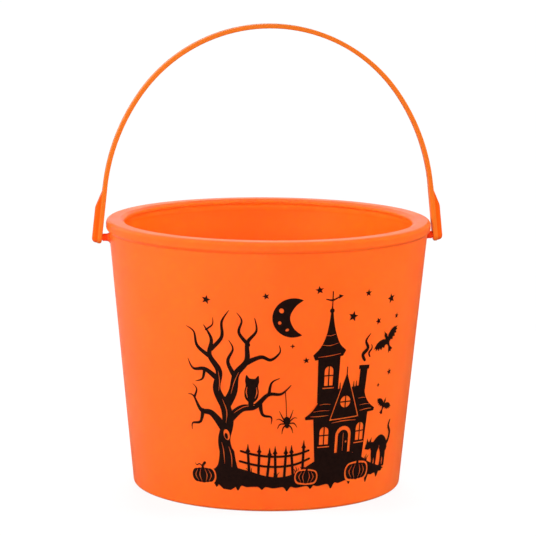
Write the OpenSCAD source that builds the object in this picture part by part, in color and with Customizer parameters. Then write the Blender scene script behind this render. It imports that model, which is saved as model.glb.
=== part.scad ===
// Round plastic treat pail with a swinging strap handle.
// The pail stands on the XY plane, its axis is Z, and the handle's pivots lie on a line along X.

/* [Pail] */
// Height from the surface it stands on to the top of the rim
pail_h = 136.2; // [110:0.1:170]
// Outer diameter at the very bottom, before the corner is rounded
base_d = 136.6; // [110:0.1:150]
// Outer diameter of the wall where it runs into the rim
wall_top_d = 162; // [154:0.1:176]
// Thickness of the side wall
wall_t = 1.8; // [1.2:0.1:2.6]
// Thickness of the floor
floor_t = 2; // [1.4:0.1:3]
// Outer radius of the bottom corner
corner_r = 1.8; // [1:0.1:3]
// Inner radius of the bottom corner
inner_corner_r = 4; // [2:0.1:7]

/* [Foot] */
// Width of the ring that the pail stands on
foot_w = 8; // [6:0.1:14]
// How far the middle of the bottom is pushed up
push_up = 2.6; // [1.8:0.1:5]
// Slope of the step between the ring and the middle
step_angle = 45; // [35:1:60]
// Radius of the bends in the step
step_r = 2; // [1:0.1:2.4]
// Width of the pinched seam across the bottom
seam_w = 1.2; // [0.8:0.1:2]
// Height of the pinched seam
seam_h = 0.5; // [0.3:0.1:0.9]
// Share of the pushed-up middle that the seam crosses
seam_share = 0.86; // [0.6:0.01:0.95]

/* [Rim] */
// How far the rim stands out from the wall
rim_out = 1.5; // [1:0.1:2.5]
// Width of the rim seen from above
rim_w = 9.3; // [9:0.1:14]
// Thickness of the rim's flat top
rim_t = 2.4; // [2.3:0.1:3]
// Height of the rim's upright outer face, from its top
rim_face_h = 4.6; // [3.8:0.1:6]
// Height of the slope under that face, which leads back to the wall
rim_under_h = 1.4; // [1:0.1:2.6]
// Outer top radius of the rim
rim_top_r = 2; // [1:0.1:2.4]
// Radius under the rim's face
rim_under_r = 1.8; // [0.8:0.1:2.2]
// Radius of the hollow line where the rim meets the wall
rim_root_r = 0.4; // [0.2:0.1:0.8]
// Width over which the inner edge slopes down
edge_w = 2.2; // [1.6:0.1:2.8]
// Drop over that width
edge_drop = 1.2; // [0.8:0.1:1.2]
// Radius where the flat top turns into that slope
edge_r = 2; // [0.6:0.1:3]
// Radius where that slope turns into the upright inner edge
lip_r = 1; // [0.4:0.1:1.1]
// Radius under the inner edge
lip_end_r = 0.35; // [0.2:0.05:0.35]
// Radius inside the corner of the wall and the rim
rim_inside_r = 4.4; // [2:0.1:4.4]

/* [Studs] */
// Height of the stud axis below the top of the rim
stud_drop = 9; // [8:0.1:12]
// Diameter of the flare where the stud leaves the wall
flare_d = 6.2; // [5:0.1:6.8]
// Length of that flare
flare_l = 1.9; // [1:0.1:2.4]
// Diameter of the stud's shoulder, which keeps the handle off the wall
shoulder_d = 3.8; // [3.5:0.1:4.6]
// Gap between the shoulder and the handle
shoulder_gap = 0.4; // [0.3:0.1:0.7]
// Diameter of the neck that the handle turns on
neck_d = 3; // [2.7:0.1:3.2]
// How far the head stands out round the neck
head_lip = 0.4; // [0.3:0.05:0.45]
// Length of the head
head_l = 1.4; // [1.2:0.1:1.6]

/* [Handle] */
// Height of the handle above the rim
bail_rise = 98.9; // [85:0.1:120]
// Width of the strap
strap_w = 6; // [5.6:0.1:6.2]
// Thickness of the strap
strap_t = 2.2; // [1.8:0.1:2.8]
// Radius along the strap's edges
strap_edge_r = 0.6; // [0.2:0.05:0.8]
// Gap between the strap and the rim, at the top of the rim
rim_gap = 1.2; // [0.6:0.1:3]
// Length of the straight leg from the pivot to the first bend
leg_l = 25.4; // [24.5:0.1:32]
// Lean of the leg, which spreads the handle's ends apart
leg_lean = 6; // [2:0.5:8]
// Angle at which the long shoulder arc hands over to the crown arc
shoulder_angle = 35.5; // [28:0.5:50]

/* [Handle ends] */
// Diameter of the round end about the pivot
eye_d = 6.3; // [6.2:0.1:8]
// Radius round the inner edge of that end
eye_edge_r = 1; // [0.4:0.1:1.2]
// Depth of the boss that stands out from the strap
boss_t = 2.7; // [2.5:0.1:3.4]
// Length of the full depth of the boss above the pivot
boss_l = 14.9; // [10:0.1:17]
// Length over which the boss runs out into the strap
boss_ramp_l = 8.4; // [5:0.1:9.4]
// How much narrower each side of the boss is than the strap
boss_inset = 0.1; // [0.05:0.05:0.2]
// Draft of the boss's sides
boss_draft = 8; // [2:0.5:9]
// Radius round the outer edge of the boss
boss_edge_r = 2.1; // [0.5:0.1:2.2]
// Thickness of the socket's mouth, which the head snaps past
socket_lip_t = 1.5; // [1.2:0.1:1.7]
// Running clearance round the neck, on the radius
neck_clear = 0.06; // [0.03:0.01:0.1]
// Clearance round the head, on the radius and at each end
head_clear = 0.25; // [0.2:0.05:0.3]

/* [Hidden] */

pail_colour = [0.98, 0.42, 0.15];
bail_colour = [0.97, 0.43, 0.1];
$fn = 96;

// Largest turn between neighbouring points of a rounded corner
arc_step = 9;
// Overrun of a cut past the face that it opens
over = 1;

// The strap is made of lengths that lap into each other: the outer one is a hair larger all round
crown_proud = 0.02;
leg_proud = 0.05;
lap_angle = 1;

// Places that both pieces share
rim_d = wall_top_d + 2 * rim_out;
mouth_r = rim_d / 2 - rim_w;
rim_root_z = pail_h - rim_face_h - rim_under_h;
stud_z = pail_h - stud_drop;
neck_r = neck_d / 2;
head_r = neck_r + head_lip;

// Radius of the outer wall at height z
function wall_r(z) = base_d / 2 + (wall_top_d - base_d) / 2 * z / rim_root_z;

// Horizontal thickness of the leaning wall
wall_lean = atan((wall_top_d - base_d) / 2 / rim_root_z);
wall_across = wall_t / cos(wall_lean);

// Thickness of the leg, and distance from its middle to the outer face of the boss
leg_t = strap_t + 2 * leg_proud;
boss_x = leg_t / 2 + boss_t;

// Centre of the strap's thickness at the pivot, and the socket inside the boss
pivot_x = rim_d / 2 + rim_gap + stud_drop * tan(leg_lean) + leg_t / 2 / cos(leg_lean);
socket_inner_x = pivot_x - leg_t / 2 / cos(leg_lean);
socket_r = head_r + head_clear;
head_from_x = socket_inner_x + socket_lip_t + head_clear;
head_to_x = head_from_x + head_l;
socket_end_x = head_to_x + head_clear;

// The handle's centre line: a straight leg, a long shoulder arc and a crown arc
leg_foot = [pivot_x, stud_z];
leg_top = leg_foot + leg_l * [-sin(leg_lean), cos(leg_lean)];
apex_z = pail_h + bail_rise - strap_t / 2;
arch_rise = apex_z - leg_top[1];
arch_det = (cos(leg_lean) - cos(shoulder_angle)) * (1 - sin(shoulder_angle))
    - cos(shoulder_angle) * (sin(shoulder_angle) - sin(leg_lean));
shoulder_r = (leg_top[0] * (1 - sin(shoulder_angle)) - arch_rise * cos(shoulder_angle)) / arch_det;
crown_r = (arch_rise * (cos(leg_lean) - cos(shoulder_angle))
    - leg_top[0] * (sin(shoulder_angle) - sin(leg_lean))) / arch_det;
shoulder_centre = leg_top - shoulder_r * [cos(leg_lean), sin(leg_lean)];
crown_centre = [0, apex_z - crown_r];

function unit(v) = v / norm(v);

// Points that round corner b of the line a, b, c with radius r
function round_corner(a, b, c, r) =
    let (
        u = unit(a - b),
        v = unit(c - b),
        inside = acos(u * v),
        reach = r / tan(inside / 2),
        centre = b + unit(u + v) * r / sin(inside / 2),
        start = b + u * reach - centre,
        turn = (180 - inside) * sign(u[1] * v[0] - u[0] * v[1]),
        from = atan2(start[1], start[0]),
        steps = ceil(abs(turn) / arc_step)
    )
    r == 0
        ? [b]
        : [for (i = [0:steps])
            let (a = from + turn * i / steps)
            centre + r * [cos(a), sin(a)]];

// A closed outline of [x, y, corner radius] entries
function rounded_outline(corners) =
    let (n = len(corners))
    [for (i = [0:n - 1])
        let (
            a = corners[(i + n - 1) % n],
            b = corners[i],
            c = corners[(i + 1) % n]
        )
        each round_corner([a[0], a[1]], [b[0], b[1]], [c[0], c[1]], b[2])];

// Half section of the pail: up the outside, over the rim and down the inside
function pail_section() =
    let (
        ring_r = base_d / 2 - foot_w,
        middle_r = ring_r - push_up / tan(step_angle),
        shift = floor_t * tan(step_angle / 2),
        under_z = pail_h - rim_t,
        inside_top_r = wall_r(under_z) - wall_across,
        inside_foot_r = wall_r(floor_t) - wall_across
    )
    [
        [0, push_up, 0],
        [middle_r, push_up, step_r],
        [ring_r, 0, step_r / 2],
        [base_d / 2, 0, corner_r],
        [wall_r(rim_root_z), rim_root_z, rim_root_r],
        [rim_d / 2, pail_h - rim_face_h, rim_under_r],
        [rim_d / 2, pail_h, rim_top_r],
        [mouth_r + edge_w, pail_h, edge_r],
        [mouth_r, pail_h - edge_drop, lip_r],
        [mouth_r, under_z, lip_end_r],
        [inside_top_r, under_z, rim_inside_r],
        [inside_foot_r, floor_t, inner_corner_r],
        [ring_r - shift, floor_t, step_r / 2],
        [middle_r - shift, push_up + floor_t, step_r],
        [0, push_up + floor_t, 0]
    ];

// Seam where the two halves of the mould pinched the bottom shut
module pinched_seam() {
    middle_r = base_d / 2 - foot_w - push_up / tan(step_angle);
    seam_l = 2 * middle_r * seam_share;
    translate([-seam_l / 2, -seam_w / 2, push_up - seam_h])
        cube([seam_l, seam_w, seam_h + floor_t / 2]);
}

// Stud with a flared root, a shoulder, a neck and a domed head, drawn along +X from the wall's skin
module stud() {
    skin_x = wall_r(stud_z);
    root_x = skin_x - wall_across / 2;
    shoulder_x = socket_inner_x - shoulder_gap;
    dome_h = head_l / 2;
    flare_r = flare_d / 2;
    shoulder_r = shoulder_d / 2;
    flare_points = [for (a = [0:arc_step:90])
        [flare_r - (flare_r - shoulder_r) * sin(a), skin_x + flare_l * (1 - cos(a))]];
    head_points = [for (a = [0:arc_step:90])
        [head_r * cos(a), head_to_x - dome_h + dome_h * sin(a)]];
    translate([0, 0, stud_z])
        rotate([0, 90, 0])
            rotate_extrude()
                polygon(concat(
                    [[0, root_x], [flare_r, root_x]],
                    flare_points,
                    [[shoulder_r, shoulder_x], [neck_r, shoulder_x]],
                    [[neck_r, head_from_x], [head_r, head_from_x]],
                    head_points
                ));
}

module pail() {
    color(pail_colour)
        union() {
            rotate_extrude($fn = 180)
                polygon(rounded_outline(pail_section()));
            pinched_seam();
            stud();
            mirror([1, 0, 0]) stud();
        }
}

// Rectangle about the origin with round corners
module rounded_bar(size_x, size_y, r) {
    square([size_x - 2 * r, size_y], center = true);
    square([size_x, size_y - 2 * r], center = true);
    for (x = [-1, 1], y = [-1, 1])
        translate([x * (size_x / 2 - r), y * (size_y / 2 - r)])
            circle(r = r, $fn = 32);
}

// One arc of the strap in the XZ plane, round a centre, between two angles above +X
module strap_arc(centre, radius, from, to, proud) {
    translate([centre[0], 0, centre[1]])
        rotate([90, 0, 0])
            rotate([0, 0, from])
                rotate_extrude(angle = to - from, $fn = 240)
                    translate([radius, 0])
                        rounded_bar(strap_t + 2 * proud, strap_w + 2 * proud, strap_edge_r);
}

// Round end of the leg about the pivot, with the same thickness as the leg
module leg_eye() {
    rotate([0, 90, 0])
        rotate_extrude()
            polygon(rounded_outline([
                [0, -leg_t / 2, 0],
                [eye_d / 2, -leg_t / 2, eye_edge_r],
                [eye_d / 2, leg_t / 2, strap_edge_r],
                [0, leg_t / 2, 0]
            ]));
}

// Round end of the boss: its sides draw in towards the outer face
module boss_eye() {
    root_w = eye_d / 2 - boss_inset;
    rotate([0, 90, 0])
        rotate_extrude()
            polygon(rounded_outline([
                [0, 0, 0],
                [root_w, 0, 0],
                [root_w - boss_x * tan(boss_draft), boss_x, boss_edge_r],
                [0, boss_x, 0]
            ]));
}

// Straight part of the boss, up the leg to the top of its ramp
module boss_run() {
    root_w = strap_w / 2 - boss_inset;
    face_w = root_w - boss_x * tan(boss_draft);
    linear_extrude(height = boss_l + boss_ramp_l)
        polygon(rounded_outline([
            [0, -root_w, 0],
            [boss_x, -face_w, boss_edge_r],
            [boss_x, face_w, boss_edge_r],
            [0, root_w, 0]
        ]));
}

// Boss with its ramp, on a leg that stands along +Z with its outer face towards +X
module boss() {
    ramp_angle = atan(boss_t / boss_ramp_l);
    boss_eye();
    difference() {
        boss_run();
        translate([boss_x, -strap_w, boss_l])
            rotate([0, -ramp_angle, 0])
                cube([boss_x + over, 2 * strap_w, 2 * boss_ramp_l]);
    }
}

// Leg with its round end and boss, leaning from the pivot
module leg() {
    translate([leg_foot[0], 0, leg_foot[1]])
        rotate([0, -leg_lean, 0]) {
            linear_extrude(height = leg_l)
                rounded_bar(leg_t, strap_w + 2 * leg_proud, strap_edge_r);
            leg_eye();
            boss();
        }
}

// Socket that the stud's head snaps into: a narrow mouth and a wider chamber
module socket() {
    translate([socket_inner_x - over, 0, stud_z])
        rotate([0, 90, 0])
            cylinder(h = socket_lip_t + 2 * over, r = neck_r + neck_clear);
    translate([socket_inner_x + socket_lip_t, 0, stud_z])
        rotate([0, 90, 0])
            cylinder(h = socket_end_x - socket_inner_x - socket_lip_t, r = socket_r);
}

module bail_half() {
    difference() {
        union() {
            leg();
            strap_arc(shoulder_centre, shoulder_r, leg_lean - lap_angle, shoulder_angle + lap_angle, 0);
        }
        socket();
    }
}

module bail() {
    color(bail_colour)
        union() {
            strap_arc(crown_centre, crown_r, shoulder_angle, 180 - shoulder_angle, crown_proud);
            bail_half();
            mirror([1, 0, 0]) bail_half();
        }
}

pail();
bail();
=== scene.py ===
import math

import bpy
from mathutils import Matrix, Vector
from mathutils.geometry import delaunay_2d_cdt


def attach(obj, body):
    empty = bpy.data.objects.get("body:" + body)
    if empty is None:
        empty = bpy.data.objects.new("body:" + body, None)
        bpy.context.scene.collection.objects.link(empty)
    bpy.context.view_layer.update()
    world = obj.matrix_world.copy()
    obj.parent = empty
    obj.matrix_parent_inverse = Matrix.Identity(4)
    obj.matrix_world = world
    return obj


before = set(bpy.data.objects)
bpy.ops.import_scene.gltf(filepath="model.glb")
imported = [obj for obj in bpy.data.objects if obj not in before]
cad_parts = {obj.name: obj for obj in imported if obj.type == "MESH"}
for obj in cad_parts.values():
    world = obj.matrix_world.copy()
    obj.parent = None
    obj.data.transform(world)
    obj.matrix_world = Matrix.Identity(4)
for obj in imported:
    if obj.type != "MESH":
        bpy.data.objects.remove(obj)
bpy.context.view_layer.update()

MM = 0.001

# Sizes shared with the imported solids, in metres
WALL_R_BASE = 0.0683
WALL_R_TOP = 0.081
WALL_TOP_Z = 0.1302
WALL_SLOPE = (WALL_R_TOP - WALL_R_BASE) / WALL_TOP_Z
STUD_Z = 0.1272
LEG_SLOPE = math.tan(math.radians(6))
BOSS_START = 0.0867
BOSS_FROM = BOSS_START + STUD_Z * LEG_SLOPE

# Where each painted light or shade on the plastic begins and ends, in metres
INSIDE_BAND = (0.0668, 0.0679)
LIP_BAND = (0.1335, 0.1343)
ENDS_BAND = (0.038, 0.06)
UNDER_LIP_BAND = (0.1295, 0.1321)
PAST_WALL_BAND = (0.0811, 0.0822)
BELOW_RIM_BAND = (0.1302, 0.1308)
BOSS_BAND = (BOSS_FROM, BOSS_FROM + 0.0006)

# Share of the painted light inside that is left below the lip
INSIDE_SHARE = 0.1

# Colours, in linear light
PAIL_PALE = (0.955, 0.1355, 0.0143, 1)
PAIL_DEEP = (0.94, 0.1266, 0.0121, 1)
BAIL_PALE = (0.73, 0.158, 0.013, 1)
BAIL_DEEP = (0.7, 0.148, 0.0112, 1)
# Painted light inside, under the lip
INSIDE_PAINTED_LIGHT = (0.96, 0.29, 0.03, 1)
# Painted shade at the two inside ends
INSIDE_ENDS_PAINTED_SHADE = (0.95, 0.112, 0.004, 1)
# Painted shade on the studs
STUD_PAINTED_SHADE = (0.95, 0.0504, 0.0033, 1)
# Painted shade on the bosses
BOSS_PAINTED_SHADE = (0.77, 0.091, 0.0006, 1)
INK_DARK = (0.007, 0.0026, 0.002, 1)
INK_WORN = (0.013, 0.0045, 0.003, 1)

# Surface of the plastic and of the ink
PLASTIC_IOR = 1.46
PLASTIC_SHEEN = 0.28
PLASTIC_GLOSS = 0.34
BAIL_GLOSS = 0.36
GLOSS_SPREAD = 0.035
SCATTER = 0.8
SCATTER_COLOUR = (0.5, 0.7, 0.2)
SCATTER_DEPTH = 0.007
INK_SHEEN = 0.08
INK_GLOSS = (0.42, 0.56)


def wall_r(z):
    """The wall's outer radius at a height."""
    return WALL_R_BASE + WALL_SLOPE * z


# Materials


def shader_of(name):
    """A new material and its shader."""
    mat = bpy.data.materials.new(name)
    mat.use_nodes = True
    return mat, mat.node_tree.nodes["Principled BSDF"]


def noise(mat, scale, detail, stretch=(1, 1, 1)):
    """A noise over the object's own coordinates, whose scale is in turns per metre."""
    nodes, links = mat.node_tree.nodes, mat.node_tree.links
    where = nodes.new("ShaderNodeTexCoord")
    turn = nodes.new("ShaderNodeMapping")
    turn.inputs["Scale"].default_value = stretch
    links.new(where.outputs["Object"], turn.inputs["Vector"])
    made = nodes.new("ShaderNodeTexNoise")
    made.inputs["Scale"].default_value = scale
    made.inputs["Detail"].default_value = detail
    links.new(turn.outputs["Vector"], made.inputs["Vector"])
    return made.outputs["Fac"]


def ramp(mat, source, low, high, start=0.3, end=0.7):
    """A value that runs from low to high while the source runs from start to end."""
    made = mat.node_tree.nodes.new("ShaderNodeMapRange")
    made.inputs["From Min"].default_value = start
    made.inputs["From Max"].default_value = end
    made.inputs["To Min"].default_value = low
    made.inputs["To Max"].default_value = high
    mat.node_tree.links.new(source, made.inputs["Value"])
    return made.outputs["Result"]


def blended(mat, source, low, high):
    """A colour between two, by the source."""
    made = mat.node_tree.nodes.new("ShaderNodeMix")
    made.data_type = "RGBA"
    made.inputs["A"].default_value = low
    made.inputs["B"].default_value = high
    mat.node_tree.links.new(ramp(mat, source, 0, 1), made.inputs["Factor"])
    return made.outputs["Result"]


def bumps(mat, shader, layers):
    """Bump layers, each a source, its strength and its height in metres."""
    nodes, links = mat.node_tree.nodes, mat.node_tree.links
    last = None
    for source, strength, height in layers:
        made = nodes.new("ShaderNodeBump")
        made.inputs["Strength"].default_value = strength
        made.inputs["Distance"].default_value = height
        links.new(source, made.inputs["Height"])
        if last:
            links.new(last, made.inputs["Normal"])
        last = made.outputs["Normal"]
    links.new(last, shader.inputs["Normal"])


def plastic(name, pale, deep, gloss, scatter):
    """Moulded polyethylene: faint clouds and flow streaks, a soft sheen and a slightly wavy skin."""
    mat, shader = shader_of(name)
    cloud = noise(mat, scale=30, detail=3)
    streak = noise(mat, scale=60, detail=2, stretch=(1, 1, 0.12))
    grain = noise(mat, scale=1400, detail=2)
    links = mat.node_tree.links
    links.new(blended(mat, cloud, deep, pale), shader.inputs["Base Color"])
    links.new(ramp(mat, streak, gloss - GLOSS_SPREAD, gloss + GLOSS_SPREAD), shader.inputs["Roughness"])
    shader.inputs["IOR"].default_value = PLASTIC_IOR
    shader.inputs["Specular IOR Level"].default_value = PLASTIC_SHEEN
    shader.inputs["Subsurface Weight"].default_value = scatter
    shader.inputs["Subsurface Radius"].default_value = SCATTER_COLOUR
    shader.inputs["Subsurface Scale"].default_value = SCATTER_DEPTH
    bumps(mat, shader, [(cloud, 0.2, 0.0004), (streak, 0.15, 0.0002), (grain, 0.18, 0.00004)])
    return mat


def ink(name):
    """Screen ink: near black, a little thinner in places, with a satin skin."""
    mat, shader = shader_of(name)
    cover = noise(mat, scale=700, detail=4)
    grain = noise(mat, scale=2600, detail=2)
    links = mat.node_tree.links
    links.new(blended(mat, cover, INK_DARK, INK_WORN), shader.inputs["Base Color"])
    links.new(ramp(mat, grain, *INK_GLOSS), shader.inputs["Roughness"])
    shader.inputs["IOR"].default_value = PLASTIC_IOR
    shader.inputs["Specular IOR Level"].default_value = INK_SHEEN
    bumps(mat, shader, [(grain, 0.25, 0.00003)])
    return mat


def math_node(mat, operation, *sources):
    """The result of a sum on sockets or plain numbers."""
    made = mat.node_tree.nodes.new("ShaderNodeMath")
    made.operation = operation
    for socket, source in zip(made.inputs, sources):
        if isinstance(source, (int, float)):
            socket.default_value = source
        else:
            mat.node_tree.links.new(source, socket)
    return made.outputs[0]


def places(mat):
    """How far out along X a point of the object lies, its distance from the axis, and its height."""
    nodes, links = mat.node_tree.nodes, mat.node_tree.links
    where, split = nodes.new("ShaderNodeTexCoord"), nodes.new("ShaderNodeSeparateXYZ")
    flat, reach = nodes.new("ShaderNodeVectorMath"), nodes.new("ShaderNodeVectorMath")
    flat.operation, reach.operation = "MULTIPLY", "LENGTH"
    flat.inputs[1].default_value = (1, 1, 0)
    links.new(where.outputs["Object"], split.inputs[0])
    links.new(where.outputs["Object"], flat.inputs[0])
    links.new(flat.outputs["Vector"], reach.inputs[0])
    return math_node(mat, "ABSOLUTE", split.outputs["X"]), reach.outputs["Value"], split.outputs["Z"]


def tint(mat, share, tone):
    """The base colour turns to this tone where share is one."""
    links = mat.node_tree.links
    socket = mat.node_tree.nodes["Principled BSDF"].inputs["Base Color"]
    made = mat.node_tree.nodes.new("ShaderNodeMix")
    made.data_type = "RGBA"
    links.new(share, made.inputs["Factor"])
    links.new(socket.links[0].from_socket, made.inputs["A"])
    made.inputs["B"].default_value = tone
    links.new(made.outputs["Result"], socket)


pail_plastic = plastic("pail_plastic", PAIL_PALE, PAIL_DEEP, PLASTIC_GLOSS, SCATTER)
bail_plastic = plastic("bail_plastic", BAIL_PALE, BAIL_DEEP, BAIL_GLOSS, 0)
seam_plastic = plastic("seam_plastic", PAIL_PALE, PAIL_DEEP, PLASTIC_GLOSS, 0)
print_ink = ink("print_ink")

# Inside, painted shade deepens the two ends and painted light makes it palest under the thin lip,
# standing in for light that comes through the wall
out, reach, up = places(pail_plastic)
inward = math_node(pail_plastic, "MULTIPLY_ADD", up, -WALL_SLOPE, reach)
below_top = ramp(pail_plastic, up, 1, 0, *LIP_BAND)
inside = math_node(pail_plastic, "MULTIPLY", ramp(pail_plastic, inward, 1, 0, *INSIDE_BAND), below_top)
at_ends = ramp(pail_plastic, out, 0, 1, *ENDS_BAND)
tint(pail_plastic, math_node(pail_plastic, "MULTIPLY", inside, at_ends), INSIDE_ENDS_PAINTED_SHADE)
under_lip = ramp(pail_plastic, up, INSIDE_SHARE, 1, *UNDER_LIP_BAND)
tint(pail_plastic, math_node(pail_plastic, "MULTIPLY", inside, under_lip), INSIDE_PAINTED_LIGHT)

# Painted shade makes it deeper on the thick studs, out past the wall and below the rim
past_wall = ramp(pail_plastic, out, 0, 1, *PAST_WALL_BAND)
below_rim = ramp(pail_plastic, up, 1, 0, *BELOW_RIM_BAND)
tint(pail_plastic, math_node(pail_plastic, "MULTIPLY", past_wall, below_rim), STUD_PAINTED_SHADE)

# Painted shade makes it deeper on the bosses too, outside the leaning legs
out, _, up = places(bail_plastic)
across_leg = math_node(bail_plastic, "MULTIPLY_ADD", up, LEG_SLOPE, out)
tint(bail_plastic, ramp(bail_plastic, across_leg, 0, 1, *BOSS_BAND), BOSS_PAINTED_SHADE)

for node, material in (("pail", pail_plastic), ("bail", bail_plastic)):
    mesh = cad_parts[node].data
    mesh.materials.clear()
    mesh.materials.append(material)


# The print's drawing, in millimetres: x along the wall, y the height above the table

# A stroke that is no wider than this at its end, from its middle line, ends in a point
POINTED_END = 0.2


def between(t, p, q, r, s):
    """The value of a round curve at the share t of its way from q to r."""
    square, cube = 2 * p - 5 * q + 4 * r - s, 3 * q - p - 3 * r + s
    return 0.5 * (2 * q + (r - p) * t + square * t * t + cube * t**3)


def smooth(points, step=0.8, closed=True):
    """A round curve through the points, as a list of points about step apart."""
    n = len(points)
    made = []
    for i in range(n if closed else n - 1):
        if closed:
            a, b, c, d = (points[(i + k - 1) % n] for k in range(4))
        else:
            a, b, c, d = (points[min(max(i + k - 1, 0), n - 1)] for k in range(4))
        parts = max(1, round(math.dist(b, c) / step))
        for k in range(parts):
            made.append(tuple(between(k / parts, *around) for around in zip(a, b, c, d)))
    if not closed:
        made.append(tuple(points[-1]))
    return made


def stroke(points, widths, step=0.9):
    """A brush stroke with round ends, as wide as widths say at even shares of its length."""
    line = smooth(points, step, closed=False)
    last = len(line) - 1
    left, right = [], []
    for i, (x, y) in enumerate(line):
        x0, y0 = line[max(i - 1, 0)]
        x1, y1 = line[min(i + 1, last)]
        length = math.hypot(x1 - x0, y1 - y0)
        at = i / last * (len(widths) - 1)
        k = min(int(at), len(widths) - 2)
        half = (widths[k] + (widths[k + 1] - widths[k]) * (at - k)) / 2
        nx, ny = (y0 - y1) / length * half, (x1 - x0) / length * half
        left.append((x + nx, y + ny))
        right.append((x - nx, y - ny))
    ends = []
    for (x, y), (rx, ry) in ((line[-1], right[-1]), (line[0], left[0])):
        dx, dy = rx - x, ry - y
        ends.append(
            [
                (x + dx * math.cos(a) - dy * math.sin(a), y + dx * math.sin(a) + dy * math.cos(a))
                for a in (math.pi * k / 5 for k in (1, 2, 3, 4))
                if math.hypot(dx, dy) > POINTED_END
            ]
        )
    return (right + ends[0] + left[::-1] + ends[1], True)


def gap(points, widths, step=0.9):
    """A stroke that is left out of the ink."""
    return (stroke(points, widths, step)[0], False)


def oval(x, y, rx, ry, turn=0, count=24, inked=True):
    """An oval with these two radii, turned by so many degrees."""
    c, s = math.cos(math.radians(turn)), math.sin(math.radians(turn))
    made = []
    for i in range(count):
        a = math.tau * i / count
        px, py = rx * math.cos(a), ry * math.sin(a)
        made.append((x + px * c - py * s, y + px * s + py * c))
    return (made, inked)


def star(x, y, r, turn=0, points=5, inner=0.42):
    """A star, whose inner corners lie at a share of its radius."""
    made = []
    for k in range(2 * points):
        a = math.radians(90 + turn + 180 * k / points)
        reach = r if k % 2 == 0 else r * inner
        made.append((x + reach * math.cos(a), y + reach * math.sin(a)))
    return (made, True)


def moved(shapes, x, y, size=1.0, turn=0, mirror=False):
    """The shapes at another place, size and turn."""
    c, s = math.cos(math.radians(turn)), math.sin(math.radians(turn))
    made = []
    for points, inked in shapes:
        points = [(-px, py) for px, py in points[::-1]] if mirror else points
        points = [(x + size * (px * c - py * s), y + size * (px * s + py * c)) for px, py in points]
        made.append((points, inked))
    return made


def block(*corners):
    """A shape with straight edges from corner to corner."""
    return (list(corners), True)


def bar(x, y, w, h):
    """An upright box, its lower left corner at x, y."""
    return block((x, y), (x + w, y), (x + w, y + h), (x, y + h))


def arched(x, y, w, h, inked=False):
    """A window or door with a round top, its lower left corner at x, y."""
    top = y + h - w / 2
    arc = [
        (x + w / 2 + w / 2 * math.cos(math.radians(a)), top + w / 2 * math.sin(math.radians(a)))
        for a in range(0, 181, 20)
    ]
    return ([(x, y), (x + w, y)] + arc, inked)


def window(x, y, w, h):
    """A lit window, left out of the ink, with its glazing bars and a sill."""
    return [
        arched(x, y, w, h),
        bar(x + w / 2 - 0.3, y - 0.2, 0.6, h + 0.4),
        bar(x - 0.2, y + h * 0.52 - 0.3, w + 0.4, 0.6),
        (bar(x - 0.8, y - 1.5, w + 1.6, 0.55)[0], False),
    ]


def tuft(x, y, lean):
    """Three blades of grass."""
    shapes = []
    for k, tall in ((-1, 2.4), (0, 3.4), (1, 2.6)):
        foot, tip = (x + 0.7 * k, y - 1), (x + 1.5 * k + 0.8 * lean, y + tall)
        bend = (x + 0.8 * k + 0.25 * lean, y + 0.5 * tall)
        shapes.append(stroke([foot, bend, tip], [0.9, 0.6, 0.12], 0.6))
    return shapes


def ground():
    """The hill, whose lower edge runs down in drips."""
    top = [(-56.5, 15.6), (-50, 18.5), (-43, 21.5), (-35, 22.5), (-26, 21), (-17, 18.5), (-8, 18)]
    top += [(0, 20.5), (9, 25.5), (18, 28.5), (28, 28.5), (36, 25.5), (43, 21.4), (50, 18.6), (57, 16)]
    low = [(52.4, 15), (50.6, 12.2), (49, 14.6), (45.6, 14.2), (43.6, 14.6), (41.8, 10.9), (40.2, 14)]
    low += [(35, 13.6), (31.6, 14), (29.8, 11.6), (28, 13.8), (23, 12.9), (20.8, 13.4), (18.6, 10.5)]
    low += [(16.6, 13), (11, 12.4), (8.6, 12.9), (6.8, 11.2), (5, 12.8), (-1, 12.2), (-3.8, 12.8)]
    low += [(-5.8, 10.5), (-7.8, 12.7), (-13, 12.2), (-17, 12.8), (-19, 11.3), (-21, 12.9), (-27, 12.6)]
    low += [(-29.6, 13.2), (-31.6, 10.6), (-33.6, 13.2), (-38.6, 13), (-41.4, 13.8), (-43.2, 11.6)]
    low += [(-45, 13.8), (-50, 14)]
    shapes = [(smooth(low[::-1], 0.9, False) + smooth(top[::-1], 1.2, False), True)]
    tufts = [(-53, 16.6, -1.2), (-25, 20, -0.8), (-12, 17.8, 0.9)]
    tufts += [(-0.6, 19.8, -1), (40.4, 22.2, 0.9), (54, 16.2, 0.9)]
    for x, y, lean in tufts:
        shapes += tuft(x, y, lean)
    return shapes


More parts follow.
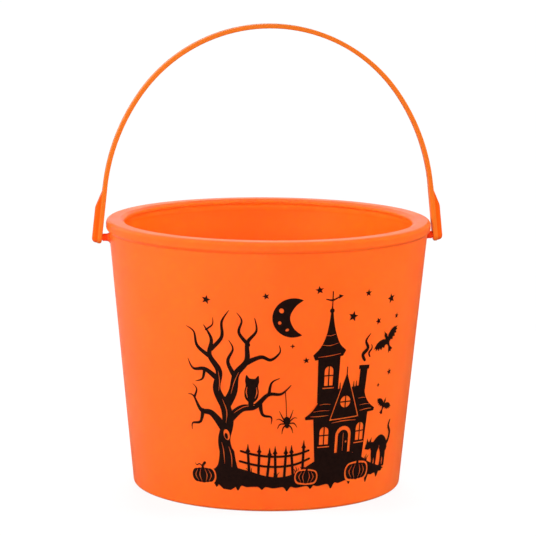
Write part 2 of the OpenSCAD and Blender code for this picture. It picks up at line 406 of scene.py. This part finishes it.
def house():
    """A tall crooked house with a tower, a front gable, a porch and a leaning chimney."""
    roof = smooth([(2.6, 48), (6.2, 51), (9.3, 55.5), (11, 61)], 1.2, False)
    roof += smooth([(35.2, 62.2), (36.6, 56.5), (39.6, 52.2), (43.8, 49.2)], 1.2, False)
    spire = smooth([(5.6, 79.4), (9.2, 83.2), (11.8, 89), (13.1, 96), (13.9, 104.5)], 1.2, False)
    spire += smooth([(14.3, 104.5), (15.4, 96.2), (17, 89.6), (19.4, 84.2), (22.8, 81)], 1.2, False)
    shapes = [
        block((8.5, 25), (37.5, 25), (39.2, 50), (6.8, 49)),
        (roof + [(43.4, 47.8), (2.8, 46.7)], True),
        block((8.6, 55), (19.4, 56), (19.9, 80), (8.2, 79)),
        (spire + [(21.2, 78.2), (6.6, 76.8)], True),
        oval(14.1, 101.4, 1.2, 1.2, 0, 16),
        bar(13.85, 103, 0.55, 8.2),
        stroke([(10.7, 107.4), (14.1, 106.7), (17.6, 108.2)], [0.35, 1.0, 0.5], 0.6),
        block((17.3, 107.2), (19.6, 108.6), (17.2, 109.4)),
        block((31.4, 56), (35.8, 56), (36.8, 71), (32.2, 71.4)),
        block((31.2, 70.4), (37.7, 69.9), (37.8, 71.9), (31.3, 72.4)),
        stroke(
            [(34.4, 74.6), (33, 77.6), (35.9, 80.6), (34.4, 84.4), (37.2, 88)],
            [1.4, 2.0, 1.7, 1.1, 0.2],
            0.7,
        ),
        stroke([(37.6, 76), (36.8, 78), (38.6, 80.2), (38, 82.4)], [0.7, 1.1, 0.8, 0.15], 0.7),
    ]
    for x in (12.6, 14.6, 16.6, 18.6, 20.6, 28.6, 30.2):
        shapes.append(block((x - 0.5, 60.5), (x + 0.5, 60.5), (x + 0.14, 64.6), (x - 0.14, 64.6)))
    shapes += [
        (block((15.6, 45.6), (33, 46.2), (24.3, 70.6))[0], False),
        block((16.4, 46.2), (32.2, 46.7), (24.3, 69.2)),
        bar(24.05, 68, 0.5, 4.4),
    ]
    # Courses of shingles on the roof and the spire, each with its width in the middle
    for course, width in (
        ([(6.8, 50.6), (11, 51), (15.4, 50.8)], 0.3),
        ([(33.2, 51.8), (37, 52), (40, 51.6)], 0.3),
        ([(10, 54), (13, 54.3), (16, 54)], 0.3),
        ([(32, 55.4), (34.6, 55.6), (37, 55.2)], 0.3),
        ([(9.6, 84.4), (14, 83.9), (18.2, 84.9)], 0.3),
        ([(11.4, 89.2), (14, 88.8), (16.6, 89.5)], 0.3),
        ([(8.2, 78.3), (14, 78.7), (20, 79.5)], 0.4),
        ([(5.4, 48.3), (10, 48.2), (15, 48.4)], 0.4),
        ([(33.6, 49), (38, 49.4), (41.6, 49.2)], 0.4),
    ):
        tip = 0.04 + 0.4 * width
        shapes.append(gap(course, [tip, width, tip], 1.2))
    for x, y, w, h in ((10.6, 33.6, 5, 9), (32, 33.9, 5, 9), (11.8, 63.6, 4.6, 9.8)):
        shapes += window(x, y, w, h)
    shapes += [oval(24.3, 54.6, 3, 3, 0, 24, False), bar(24, 51.2, 0.6, 6.8), bar(20.9, 54.3, 6.8, 0.6)]
    # The porch and its door
    shapes += [
        arched(19.6, 28.6, 9.4, 13.6),
        arched(21.2, 28.6, 6.2, 11.6, True),
        oval(26.1, 34, 0.5, 0.5, 0, 10, False),
        gap([(24.3, 29.4), (24.3, 38.6)], [0.3, 0.3], 2),
        gap([(17, 44.3), (24.3, 44.9), (31.6, 44.5)], [0.2, 0.5, 0.2], 1.2),
        bar(18.6, 28.2, 0.9, 14),
        bar(29.2, 28.2, 0.9, 14),
        (bar(17.4, 27.4, 13.8, 0.45)[0], False),
        (bar(16.2, 25.6, 16.2, 0.45)[0], False),
    ]
    return shapes


def tree():
    """A bare tree with a hollow, whose boughs fill the left half."""
    boughs = [
        ([(-37, 17), (-36.6, 26), (-38.4, 36), (-36.2, 46), (-37.8, 56)], [13, 7.6, 6.4, 5.8, 5]),
        ([(-46, 18.5), (-40.8, 22.6), (-38.6, 30)], [1.2, 3.4, 5]),
        ([(-28.6, 18), (-33.2, 22), (-35.6, 30)], [1.2, 3.6, 5]),
        (
            [(-37.8, 54), (-41.6, 62), (-40.2, 71), (-44.8, 79), (-43.6, 87), (-47.4, 94)],
            [5, 4, 3.3, 2.5, 1.7, 0.3],
        ),
        (
            [(-37.6, 53), (-33.4, 61), (-31.6, 70), (-26.4, 77), (-26, 86), (-21.8, 92), (-22.6, 98.6)],
            [5, 4.4, 3.5, 2.8, 2.1, 1.3, 0.3],
        ),
        (
            [(-36.6, 46), (-29.4, 52.6), (-22.4, 54), (-16, 60), (-9.6, 60.4), (-4.8, 64.8)],
            [4.8, 3.8, 2.9, 2.1, 1.4, 0.3],
        ),
        (
            [(-38, 42), (-44.6, 49.4), (-50.4, 50.6), (-54.4, 57.4), (-57.4, 58)],
            [4.8, 3.5, 2.5, 1.4, 0.3],
        ),
        ([(-40.8, 67), (-47.4, 71.6), (-53.8, 71.4), (-56.6, 76.2)], [3, 2.2, 1.3, 0.25]),
        ([(-44.4, 78), (-51, 83), (-52.6, 90), (-56.6, 92.6)], [2.3, 1.7, 1.1, 0.25]),
        ([(-43.8, 82), (-38.4, 88.4), (-38.2, 96), (-34.6, 102)], [2.1, 1.7, 1.2, 0.25]),
        ([(-31.8, 68), (-35.6, 76), (-33, 82.6), (-35, 87)], [2.8, 1.9, 1.2, 0.25]),
        ([(-26.6, 76), (-19.6, 79), (-14.8, 77.6), (-10.6, 81.4), (-11, 85)], [2.8, 2.0, 1.6, 1.0, 0.2]),
        ([(-25.6, 85), (-30, 91), (-28.6, 97), (-31, 101)], [1.9, 1.5, 1.0, 0.2]),
        ([(-20, 55.4), (-18.6, 49.8), (-14.4, 48.6), (-14.4, 45)], [2.3, 1.5, 1.0, 0.2]),
        ([(-49.4, 50.4), (-51, 44.6), (-55.6, 43.4), (-56, 40)], [2.3, 1.5, 1.0, 0.2]),
        ([(-47.6, 71.8), (-49, 66.6), (-53, 65)], [1.8, 1.1, 0.2]),
        ([(-15.6, 60.2), (-14.4, 66), (-10.4, 68.4)], [1.7, 1.1, 0.2]),
        ([(-46.2, 91.6), (-42.8, 94.4), (-42.6, 98)], [1.0, 0.7, 0.15]),
        ([(-53.8, 57), (-52.4, 61), (-54.6, 63.6)], [1.3, 0.8, 0.15]),
    ]
    bark = [
        gap([(-38.4, 24), (-38.9, 31), (-39.8, 35)], [0.15, 0.5, 0.15]),
        gap([(-34.6, 22), (-34.7, 28), (-36, 33)], [0.15, 0.5, 0.15]),
        gap([(-37.2, 45), (-36.7, 51), (-38.8, 57)], [0.15, 0.5, 0.15]),
        gap([(-40.6, 61), (-40, 66), (-40.6, 71)], [0.15, 0.4, 0.15]),
        gap([(-34.4, 60), (-32.6, 66), (-30.4, 71)], [0.15, 0.4, 0.15]),
        gap([(-33, 50.4), (-28, 53.6), (-22.6, 54.6)], [0.15, 0.4, 0.15]),
        oval(-37, 39, 1.6, 2.8, 12, 22, False),
        oval(-37.2, 38.3, 0.8, 1.6, 12, 16),
    ]
    return [stroke(line, widths) for line, widths in boughs] + bark


def fence():
    """Bent spear pickets on two sagging rails."""
    rail = [1.1, 1.2, 1.1, 1.2, 1.1]
    shapes = [
        stroke([(-30.4, 25.8), (-22, 24), (-12, 23.2), (-2, 24.2), (5.6, 27)], rail, 1.0),
        stroke([(-29.8, 31), (-22, 29.2), (-12, 28.4), (-2, 29.2), (5.2, 31.2)], rail, 1.0),
    ]
    half = [(0.65, 0), (1.25, 0.5), (0.6, 1.5), (0.1, 4.2)]
    spear = half + [(-dx, dy) for dx, dy in half[::-1]]
    pickets = [(-25.4, -0.7, 12), (-20.8, 0.5, 12.8), (-16.2, 1.2, 11.8), (-11.8, -0.4, 12.6)]
    pickets += [(-7.3, 0.6, 12.2), (-2.8, -1.0, 11.6), (2.2, 0.3, 12.2)]
    for x, lean, tall in pickets:
        foot = 17 + 0.012 * (x + 14) ** 2
        head = [(x + lean + dx, foot + tall + dy) for dx, dy in spear]
        shapes.append(([(x - 0.7, foot), (x + 0.7, foot)] + head, True))
    return shapes


def owl():
    """An owl on the long bough, seen from behind."""
    half = [(1.4, 0.2), (3.1, 2.2), (3.5, 5.4), (3, 8.4), (3.4, 10.9), (2.9, 13.8), (1.5, 12.2)]
    mirrored = [(-x, y) for x, y in half[::-1]]
    body = mirrored[-1:] + [(0, -0.4)] + half + [(0, 12)] + mirrored[:-1]
    shapes = [(smooth(body, 0.5), True), block((-0.9, -4), (0.9, -4), (1.3, 0.4), (-1.3, 0.4))]
    for side in (-1, 1):
        shapes.append(stroke([(side * 0.9, 0.8), (side * 1.0, -1.2)], [0.9, 0.5], 0.5))
        shapes.append(gap([(side * 2.3, 7.8), (side * 2.6, 5), (side * 1.8, 2.2)], [0.2, 0.55, 0.2], 0.5))
    return moved(shapes, -24.4, 56, 1.0, -3)


def spider():
    """A spider on its thread, below the long bough."""
    shapes = [
        oval(0, 0, 2.3, 2.8, 0, 22),
        oval(0, -3.4, 1.35, 1.3, 0, 16),
        stroke([(0, 2), (0.15, 12), (0, 20)], [0.5, 0.45, 0.5], 2),
    ]
    knees_and_feet = [(3.2, 3.8, 4.4, 7), (4.6, 1.6, 6.8, 1.2)]
    knees_and_feet += [(4.4, -1.8, 6.4, -4.8), (2.8, -4.8, 3.6, -8.4)]
    for side in (-1, 1):
        for k, (mx, my, ex, ey) in enumerate(knees_and_feet):
            leg = [(side * 0.8, -0.9 - 0.5 * k), (side * mx, my), (side * ex, ey)]
            shapes.append(stroke(leg, [0.9, 0.75, 0.2], 0.5))
    return moved(shapes, -6.6, 46.6, 0.78, 4)


def cat():
    """A cat with its back up, walking to the left."""
    shapes = []
    for line, widths in (
        ([(1.3, 0.6), (1.5, 4), (2.4, 8), (3.2, 11)], [1.8, 2, 3.6, 5]),
        ([(4.6, 0.6), (4.4, 4), (4.2, 8), (5, 11)], [1.5, 1.7, 3, 5]),
        ([(10.2, 0.6), (10, 4), (10.6, 8), (10, 11.4)], [1.5, 1.8, 3, 4.6]),
        ([(13, 0.6), (12.6, 4), (12.8, 8), (12, 11.4)], [1.5, 1.8, 3.2, 5]),
        ([(1.6, 10.2), (4, 13.4), (7.4, 14.9), (10.6, 13.4), (13.4, 11.2)], [4.6, 5.6, 6, 5.4, 4.2]),
        ([(1.8, 11.4), (-1.1, 14.2), (-1.9, 18.4), (0.4, 22), (-0.6, 25.2)], [2.6, 1.9, 1.8, 1.7, 0.9]),
        ([(12.4, 12), (15.2, 12.7), (17.2, 12.4)], [4.6, 3.6, 3.2]),
    ):
        shapes.append(stroke(line, widths, 0.6))
    shapes += [stroke([(x, 0.45), (x + 1.6, 0.35)], [1.0, 0.8], 0.5) for x in (1.3, 4.6, 10.2, 13)]
    shapes += [
        oval(17.3, 12.5, 2.5, 2.1, -12, 22),
        stroke([(17.6, 12), (19.4, 11.4)], [2.6, 1.3], 0.5),
        block((15.4, 13.4), (17.3, 14.2), (15.5, 17.1)),
        block((17.2, 14), (19.2, 13.4), (18.9, 16.8)),
    ]
    return moved(shapes, 57.4, 17.2, 0.92, -3, True)


def pumpkin(x, y, size, turn=0):
    """A ribbed pumpkin that stands clear of what is behind it."""
    clear = [(-8.6, 4.6), (-7, 8.6), (-2.4, 9.9), (2.4, 9.9), (7, 8.6)]
    clear += [(8.6, 4.6), (7, 0.2), (2, -0.9), (-2, -0.9), (-7, 0.2)]
    shapes = [(smooth(clear, 0.8), False)]
    for dx, rx in ((-4.4, 3.2), (4.4, 3.2), (-2.3, 3.6), (2.3, 3.6), (0, 3.2)):
        shapes.append(oval(dx, 4.6, rx, 4.6 - abs(dx) * 0.13))
    for side in (-1, 1):
        for inner, outer, high, low in ((1.3, 2.5, 8.4, 0.8), (3.5, 5.3, 8, 1.2)):
            rib = [(side * inner, high), (side * outer, 4.6), (side * inner, low)]
            shapes.append(gap(rib, [0.15, 0.6, 0.15], 0.6))
    shapes.append(stroke([(0, 8.4), (0.3, 10.4), (1.8, 12)], [1.9, 1.3, 1.7], 0.5))
    shapes.append(stroke([(0.3, 9.6), (-2, 11.2), (-3.8, 10.5), (-5, 11.8)], [0.8, 0.65, 0.6, 0.2], 0.5))
    return moved(shapes, x, y, size, turn)


def moon():
    """A crescent with three craters."""
    x, y, r = -4.6, 98.6, 9.8
    turns = [math.radians(a) for a in range(62, 299, 6)]
    outer = [(x + r * math.cos(a), y + r * math.sin(a)) for a in turns]
    inner = [outer[-1], (x + 0.4, y - 5.4), (x - 1.6, y + 0.2), (x + 0.9, y + 5.6), outer[0]]
    inner = smooth(inner, 0.8, False)
    return [
        (outer + inner[1:-1], True),
        oval(x - 5.6, y + 3.6, 1.1, 1.3, 20, 14, False),
        oval(x - 6.4, y - 2.4, 0.8, 0.9, 0, 12, False),
        oval(x - 2.8, y - 6, 0.9, 0.7, 30, 12, False),
    ]


def crows():
    """Two crows in flight, seen from below."""
    wing = [(0.6, 1.8), (3, 3.6), (6, 4.6), (9, 4.4), (12.4, 2.6), (10.8, 2.2), (11.6, 0.6), (9.6, 1.1)]
    wing += [(9.8, -0.8), (7.8, 0.2), (7.4, -1.8), (5.6, -0.6), (4.6, -2.2), (3.2, -1), (0.9, -1.6)]
    shapes = [
        (wing, True),
        ([(-px, py) for px, py in wing[::-1]], True),
        stroke([(0, 4.6), (0, 1), (0, -3), (0, -5)], [1.2, 2.9, 2.4, 0.9], 0.6),
        oval(0, 4.5, 1.25, 1.5, 0, 16),
        block((-0.6, 5.4), (0.6, 5.4), (0, 7.8)),
        block((-0.5, -3.6), (0.5, -3.6), (2.4, -7.8), (0.9, -7.2), (0, -8.4), (-0.9, -7.2), (-2.4, -7.8)),
    ]
    return moved(shapes, 49.7, 82.3, 0.8, 30) + moved(shapes, 51.4, 49, 0.56, -24)


def drawing():
    """The whole print, in the order in which its shapes cover each other."""
    shapes = tree() + house() + fence() + ground() + moon() + crows() + owl() + spider() + cat()
    shapes += pumpkin(-50.4, 13.2, 0.86, 4) + pumpkin(4.2, 14.2, 0.74, -3) + pumpkin(34.6, 13.4, 0.95, -2)
    # Each star's x, y, radius and turn, and for the smallest its points and waist
    stars = [
        (7.4, 112, 2.2, 8), (25.6, 97.6, 2.8, -12), (41.5, 93.5, 1.9, 20),
        (33.6, 108.6, 2, 0), (49.5, 104, 2.7, 14), (55.4, 94.4, 1.6, -8),
        (53.6, 66, 1.8, 10), (45.4, 60.4, 1.2, 0, 4, 0.36), (-17.4, 109.4, 1.8, 16),
        (-45.6, 106.6, 2.4, -14), (2.2, 77, 1.7, 6), (-4.6, 84.4, 1.3, 0, 4, 0.36),
    ]
    shapes += [star(*place) for place in stars]
    return shapes


PRINT_TURN = math.radians(6.5)
PRINT_R = 0.0743
PRINT_LIFT = 0.00007
PRINT_FOOT = 0.00001
PRINT_SHARP = math.radians(40)

# Upright cuts, in millimetres, that let the skin bend round the wall
STRIP_W = 3
STRIP_SHIFT = 0.013
STRIPS_EACH_SIDE = 20
STRIP_FOOT, STRIP_TOP = 8, 118
SAME_POINT = 1e-5


def on_wall(x, y, lift):
    """A point of the drawing, on the pail's wall."""
    angle = PRINT_TURN + x * MM / PRINT_R
    r = wall_r(y * MM) + lift
    return (r * math.sin(angle), -r * math.cos(angle), y * MM)


def leftward(outline):
    """The outline, turned so that its inside lies on its left."""
    following = outline[1:] + outline[:1]
    area = sum(x0 * y1 - x1 * y0 for (x0, y0), (x1, y1) in zip(outline, following))
    return outline if area > 0 else outline[::-1]


def printed(name, shapes, material):
    """The drawing as a closed skin of ink round the wall, where a later shape covers or clears others."""
    points, faces, edges = [], [], []
    for outline, inked in shapes:
        outline = leftward(outline)
        faces.append(list(range(len(points), len(points) + len(outline))))
        points += [Vector(p) for p in outline]
    for k in range(-STRIPS_EACH_SIDE, STRIPS_EACH_SIDE + 1):
        cut = k * STRIP_W + STRIP_SHIFT
        edges.append((len(points), len(points) + 1))
        points += [Vector((cut, STRIP_FOOT)), Vector((cut, STRIP_TOP))]
    flat, _, tris, _, _, origin = delaunay_2d_cdt(points, edges, faces, 0, SAME_POINT, True)
    kept = [t for t, from_faces in zip(tris, origin) if from_faces and shapes[max(from_faces)][1]]
    used = sorted({i for t in kept for i in t})
    place = {i: k for k, i in enumerate(used)}
    n = len(used)
    verts = [on_wall(flat[i].x, flat[i].y, PRINT_LIFT) for i in used]
    verts += [on_wall(flat[i].x, flat[i].y, PRINT_FOOT) for i in used]
    skin, border = [], {}
    for t in kept:
        a, b, c = (place[i] for i in t)
        skin += [(a, b, c), (c + n, b + n, a + n)]
        for p, q in ((a, b), (b, c), (c, a)):
            border[(p, q)] = (q, p) not in border
            if not border[(p, q)]:
                border[(q, p)] = False
    skin += [(q, p, p + n, q + n) for (p, q), open_edge in border.items() if open_edge]
    mesh = bpy.data.meshes.new(name)
    mesh.from_pydata(verts, [], skin)
    mesh.validate()
    mesh.shade_smooth()
    mesh.set_sharp_from_angle(angle=PRINT_SHARP)
    mesh.materials.append(material)
    made = bpy.data.objects.new(name, mesh)
    bpy.context.scene.collection.objects.link(made)
    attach(made, "pail_body")
    return made


printed("front_print", drawing(), print_ink)


# The mould's parting line, up both sides under the studs

SEAM_FOOT = 0.004
SEAM_TOP = 0.1195
SEAM_HALF = 0.0004
SEAM_PROUD = 0.0001
SEAM_SUNK = -0.00004
SEAM_LEVELS = 24
SEAM_TAPER = 8
SEAM_SHARP = math.radians(60)


def ridge(name, side):
    """A low ridge up the wall that fades out at both ends."""
    verts, faces = [], []
    right_half = [(0.5 * SEAM_HALF, 0.75 * SEAM_PROUD), (SEAM_HALF, SEAM_SUNK)]
    section = [(-y, out) for y, out in right_half[::-1]] + [(0, SEAM_PROUD)] + right_half
    for k in range(SEAM_LEVELS + 1):
        share = k / SEAM_LEVELS
        z = SEAM_FOOT + (SEAM_TOP - SEAM_FOOT) * share
        taper = min(1, SEAM_TAPER * share, SEAM_TAPER * (1 - share))
        for y, out in section:
            reach = wall_r(z) + (out * taper if out > 0 else out)
            verts.append((side * math.sqrt(reach * reach - y * y), y, z))
    n = len(section)
    for k in range(SEAM_LEVELS):
        for i in range(n):
            a, b = k * n + i, k * n + (i + 1) % n
            quad = (a, b, b + n, a + n)
            faces.append(quad if side > 0 else quad[::-1])
    low_cap, high_cap = tuple(range(n))[::-1], tuple(range(SEAM_LEVELS * n, SEAM_LEVELS * n + n))
    faces += [low_cap, high_cap] if side > 0 else [low_cap[::-1], high_cap[::-1]]
    mesh = bpy.data.meshes.new(name)
    mesh.from_pydata(verts, [], faces)
    mesh.validate()
    mesh.shade_smooth()
    mesh.set_sharp_from_angle(angle=SEAM_SHARP)
    mesh.materials.append(seam_plastic)
    made = bpy.data.objects.new(name, mesh)
    bpy.context.scene.collection.objects.link(made)
    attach(made, "pail_body")


ridge("parting_line_right", 1)
ridge("parting_line_left", -1)


# Stage: a pale floor, a white background, soft lamps

WORLD_LIGHT = 0.174
ROOM_LEFT = 0.68
ROOM_RIGHT = 0.08
ROOM_BAND = (-0.8, 0.8)
BACKDROP = (-0.32, 1, 0.6)
BACKDROP_LIGHT = 0.88
BACKDROP_BAND = (0.93, 0.99)
FLOOR_HALF = 8.0
FLOOR_Z = -0.00005

# The floor's tones: as it lights the pail, in the sheen at the right, and as the camera sees it
FLOOR_PALE = 0.3
FLOOR_DIM = 0.08
FLOOR_DIM_BAND = (-0.15, 0.15)
FLOOR_SEEN = 0.9
FLOOR_GLOW = 1.02
GLOW_SHARE = (0.8, 1)
GLOW_BAND = (0.15, 0.5)


def ray_is(network, *kinds):
    """One for a ray of any of these kinds, and nought for the rest."""
    path = network.nodes.new("ShaderNodeLightPath")
    total = path.outputs[kinds[0]]
    for kind in kinds[1:]:
        both = network.nodes.new("ShaderNodeMath")
        both.operation = "MAXIMUM"
        network.links.new(total, both.inputs[0])
        network.links.new(path.outputs[kind], both.inputs[1])
        total = both.outputs[0]
    return total


def background(network, strength):
    """A plain white light of this strength."""
    made = network.nodes.new("ShaderNodeBackground")
    made.inputs["Color"].default_value = (1, 1, 1, 1)
    made.inputs["Strength"].default_value = strength
    return made


def mixed(network, share, first, second):
    """The first shader where share is nought, the second where it is one."""
    made = network.nodes.new("ShaderNodeMixShader")
    network.links.new(share, made.inputs[0])
    network.links.new(first.outputs[0], made.inputs[1])
    network.links.new(second.outputs[0], made.inputs[2])
    return made


world = bpy.data.worlds.new("studio")
bpy.context.scene.world = world
world.use_nodes = True
sky = world.node_tree
sky.nodes.clear()

# What the plastic's sheen shows: a white backdrop behind, and in front a room, dimmer at the right
facing = sky.nodes.new("ShaderNodeTexCoord")
parts = sky.nodes.new("ShaderNodeSeparateXYZ")
sky.links.new(facing.outputs["Generated"], parts.inputs[0])
backward = sky.nodes.new("ShaderNodeVectorMath")
backward.operation = "DOT_PRODUCT"
backward.inputs[1].default_value = BACKDROP
sky.links.new(facing.outputs["Generated"], backward.inputs[0])
behind = ramp(world, backward.outputs["Value"], 0, 1, *BACKDROP_BAND)
rightward = ramp(world, parts.outputs["X"], 0, 1, *ROOM_BAND)
room = mixed(sky, rightward, background(sky, ROOM_LEFT), background(sky, ROOM_RIGHT))
shine = mixed(sky, behind, room, background(sky, BACKDROP_LIGHT))
mirrored = ray_is(sky, "Is Glossy Ray", "Is Transmission Ray")
lit = mixed(sky, mirrored, background(sky, WORLD_LIGHT), shine)
all_rays = mixed(sky, ray_is(sky, "Is Camera Ray"), lit, background(sky, 1))
sky_out = sky.nodes.new("ShaderNodeOutputWorld")
sky.links.new(all_rays.outputs[0], sky_out.inputs["Surface"])

floor_paint = bpy.data.materials.new("floor_paint")
floor_paint.use_nodes = True
paint = floor_paint.node_tree
paint.nodes.clear()
pale, dim, seen = (paint.nodes.new("ShaderNodeBsdfDiffuse") for _ in range(3))
for shader, tone in ((pale, FLOOR_PALE), (dim, FLOOR_DIM), (seen, FLOOR_SEEN)):
    shader.inputs["Color"].default_value = (tone, tone, tone, 1)
glow = paint.nodes.new("ShaderNodeEmission")
glow.inputs["Strength"].default_value = FLOOR_GLOW
# Round the pail the camera sees part of the lit floor and so the shadow, and further off a plain white
spot = paint.nodes.new("ShaderNodeTexCoord")
reach = paint.nodes.new("ShaderNodeVectorMath")
reach.operation = "LENGTH"
paint.links.new(spot.outputs["Object"], reach.inputs[0])
glow_share = ramp(floor_paint, reach.outputs["Value"], *GLOW_SHARE, *GLOW_BAND)
part_lit = mixed(paint, glow_share, seen, glow)
sides = paint.nodes.new("ShaderNodeSeparateXYZ")
paint.links.new(spot.outputs["Object"], sides.inputs[0])
rightward = ramp(floor_paint, sides.outputs["X"], 0, 1, *FLOOR_DIM_BAND)
at_right = math_node(floor_paint, "MULTIPLY", ray_is(paint, "Is Glossy Ray"), rightward)
unseen = mixed(paint, at_right, pale, dim)
all_rays = mixed(paint, ray_is(paint, "Is Camera Ray"), unseen, part_lit)
paint_out = paint.nodes.new("ShaderNodeOutputMaterial")
paint.links.new(all_rays.outputs[0], paint_out.inputs["Surface"])

floor_mesh = bpy.data.meshes.new("floor")
corners = [(x * FLOOR_HALF, y * FLOOR_HALF, FLOOR_Z) for x, y in ((-1, -1), (1, -1), (1, 1), (-1, 1))]
floor_mesh.from_pydata(corners, [], [(0, 1, 2, 3)])
floor_mesh.materials.append(floor_paint)
floor = bpy.data.objects.new("floor", floor_mesh)
bpy.context.scene.collection.objects.link(floor)


LAMP_AIM = Vector((0, 0, 0.1))


def seen_from(azimuth, height):
    """The direction from the pail to a place at these angles, in degrees, where the front is at 0."""
    turn, rise = math.radians(azimuth), math.radians(height)
    return Vector((math.sin(turn) * math.cos(rise), -math.cos(turn) * math.cos(rise), math.sin(rise)))


def soft_lamp(name, azimuth, height, away, size, power):
    """A square lamp that lights the pail and doesn't show in its sheen."""
    data = bpy.data.lights.new(name, "AREA")
    data.shape = "SQUARE"
    data.size = size
    data.energy = power
    lamp = bpy.data.objects.new(name, data)
    towards = seen_from(azimuth, height)
    lamp.location = LAMP_AIM + towards * away
    lamp.rotation_euler = towards.to_track_quat("Z", "Y").to_euler()
    lamp.visible_glossy = False
    bpy.context.scene.collection.objects.link(lamp)


# Each lamp's azimuth and height in degrees, its distance and size in metres and its power in watts
soft_lamp("lamp_front", -8, 13, 1.7, 0.36, 24.4)
soft_lamp("lamp_left", -92, 20, 1.6, 0.9, 22.6)
soft_lamp("lamp_back", 176, 25, 1.7, 0.9, 20.9)
soft_lamp("lamp_top", 0, 84, 1.7, 1.2, 5.2)
soft_lamp("lamp_right", 92, 20, 1.6, 0.9, 23)

# Camera, fitted to the outlines of the rim, the wall, the bottom and the handle

CAMERA_AIM = Vector((0, 0, 0.066))
CAMERA_AZIMUTH = -6.3
CAMERA_HEIGHT = 10.9
CAMERA_AWAY = 1.4147
CAMERA_TILT = 1.785
CAMERA_ROLL = -0.462
CAMERA_LENS = 185.2
SENSOR_W = 36
NEAREST, FURTHEST = 0.05, 60

data = bpy.data.cameras.new("camera")
data.lens = CAMERA_LENS
data.sensor_width = SENSOR_W
data.clip_start, data.clip_end = NEAREST, FURTHEST
camera = bpy.data.objects.new("camera", data)
bpy.context.scene.collection.objects.link(camera)
back = seen_from(CAMERA_AZIMUTH, CAMERA_HEIGHT)
aimed = back.to_track_quat("Z", "Y").to_matrix().to_4x4()
tilted = Matrix.Rotation(math.radians(CAMERA_TILT), 4, "X")
rolled = Matrix.Rotation(-math.radians(CAMERA_ROLL), 4, "Z")
camera.matrix_world = Matrix.Translation(CAMERA_AIM + back * CAMERA_AWAY) @ aimed @ tilted @ rolled
bpy.context.scene.camera = camera

bpy.context.scene.view_settings.view_transform = "Standard"
